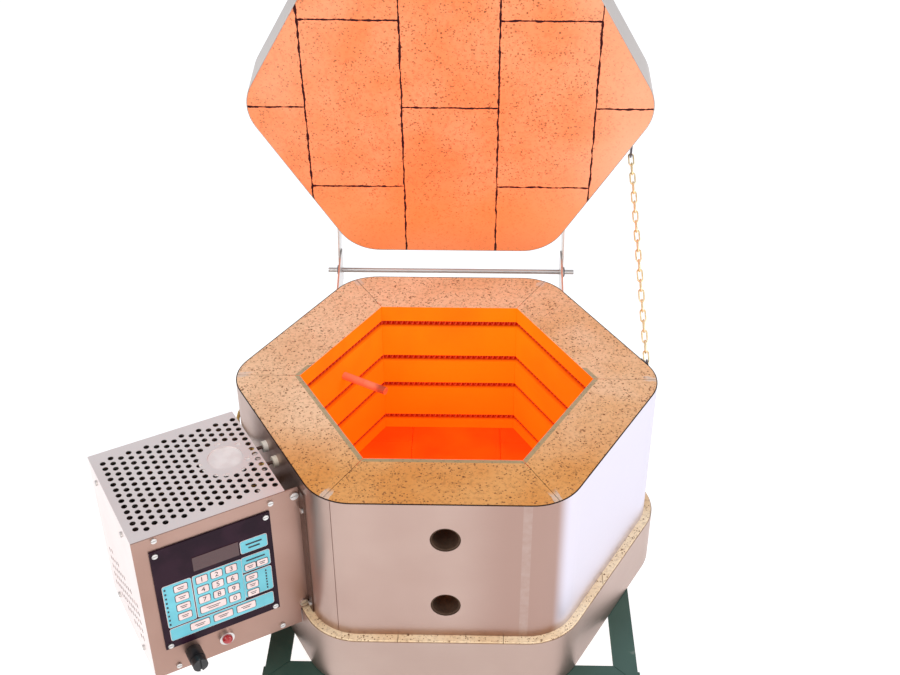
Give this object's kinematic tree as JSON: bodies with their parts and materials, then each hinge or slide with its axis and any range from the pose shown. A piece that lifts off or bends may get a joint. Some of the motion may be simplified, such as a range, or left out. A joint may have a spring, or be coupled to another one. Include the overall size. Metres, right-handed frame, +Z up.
{
  "type": "jewellery kiln",
  "caption": "Top-loading six-sided electric kiln with a hinged lid, steel jacket, firing controller box and steel stand.",
  "frame": {"origin": "centre of the chamber floor's top face", "axes": "+Z up, +Y to the rear where the lid is hinged, +X to the right seen from the front"},
  "size_m": [0.6076, 0.5587, 0.9664],
  "materials": {
    "black_grip": "matte",
    "black_plastic": "matte",
    "black_steel": "powder coat",
    "brass": "bright",
    "circuit_board": "satin",
    "cream_plastic": "matte",
    "cyan_print": "satin film",
    "dark_steel": "dull",
    "element_wire": "oxidised",
    "floor_brick": "rough insulating brick",
    "glass": "clear",
    "green_paint": "satin enamel",
    "lead_braid": "braided",
    "lid_brick": "rough insulating brick",
    "pale_steel": "dull",
    "pink_print": "satin film",
    "plum_plate": "satin",
    "porcelain": "unglazed",
    "red_plastic": "gloss",
    "red_window": "gloss",
    "rubber": "matte",
    "sheath_ceramic": "unglazed",
    "stainless": "brushed",
    "wall_brick": "rough insulating brick",
    "zinc_steel": "zinc plated"
  },
  "bodies": {
    "kiln": {"stand_frame": "green_paint", "stand_legs": "green_paint", "stand_feet": "rubber", "floor_bricks": "floor_brick", "floor_band": "stainless", "floor_band_clamp": "zinc_steel", "lower_wall_bricks": "wall_brick", "upper_wall_bricks": "wall_brick", "heating_element_1": "element_wire", "heating_element_2": "element_wire", "heating_element_3": "element_wire", "heating_element_4": "element_wire", "element_leads": "element_wire", "element_bushings": "porcelain", "element_connectors": "brass", "thermocouple_sheath": "sheath_ceramic", "thermocouple_block": "porcelain", "thermocouple_lead": "lead_braid", "jacket": "stainless", "jacket_screws": "zinc_steel", "hinge_bracket_left": "zinc_steel", "hinge_bracket_right": "zinc_steel", "hinge_rod": "zinc_steel", "rod_retainers": "dark_steel", "body_chain_anchor": "dark_steel", "safety_chain": "brass", "box_front_panel": "stainless", "box_chassis": "stainless", "box_cover": "stainless", "vent_disc": "pale_steel", "mounting_angle": "stainless", "mounting_screws": "zinc_steel", "panel_screws": "zinc_steel", "cover_screws": "zinc_steel", "controller_plate": "plum_plate", "controller_screws": "zinc_steel", "keypad_panels": "cyan_print", "keypad_keys": "pink_print", "display_window": "red_window", "controller_board": "circuit_board", "board_standoffs": "zinc_steel", "relays": "black_plastic", "terminal_block": "cream_plastic", "transformer": "dark_steel", "fuse_holder": "black_plastic", "fuse": "glass", "button_bezel": "zinc_steel", "cord_gland": "black_plastic"},
    "lid": {"lid_bricks": "lid_brick", "lid_band": "stainless", "lid_band_clamp": "zinc_steel", "lid_strap_left": "zinc_steel", "lid_strap_right": "zinc_steel", "lid_screws": "zinc_steel", "lid_handle_bracket": "black_steel", "lid_handle_grip": "black_grip", "lid_chain_bracket": "dark_steel"},
    "button": {"red_button": "red_plastic"},
    "fuse_cap": {"fuse_cap": "black_plastic"}
  },
  "joints": [
    {"name": "lid_hinge", "type": "hinge", "parent": "kiln", "child": "lid", "pos_m": [0, 0.2338, 0.175], "axis": [1, 0, 0], "range_deg": [0, 81.6], "deforming": ["safety_chain"]},
    {"name": "red_button_press", "type": "slide", "parent": "kiln", "child": "button", "axis": [-0.5, 0.866, 0], "range_m": [0, 0.003], "stiffness_N_per_m": 300, "springref_m": -0.001},
    {"name": "fuse_cap_turn", "type": "hinge", "parent": "kiln", "child": "fuse_cap", "pos_m": [-0.25341, -0.23868, 0], "axis": [0.5, -0.866, 0], "range_deg": [-90, 0]}
  ]
}
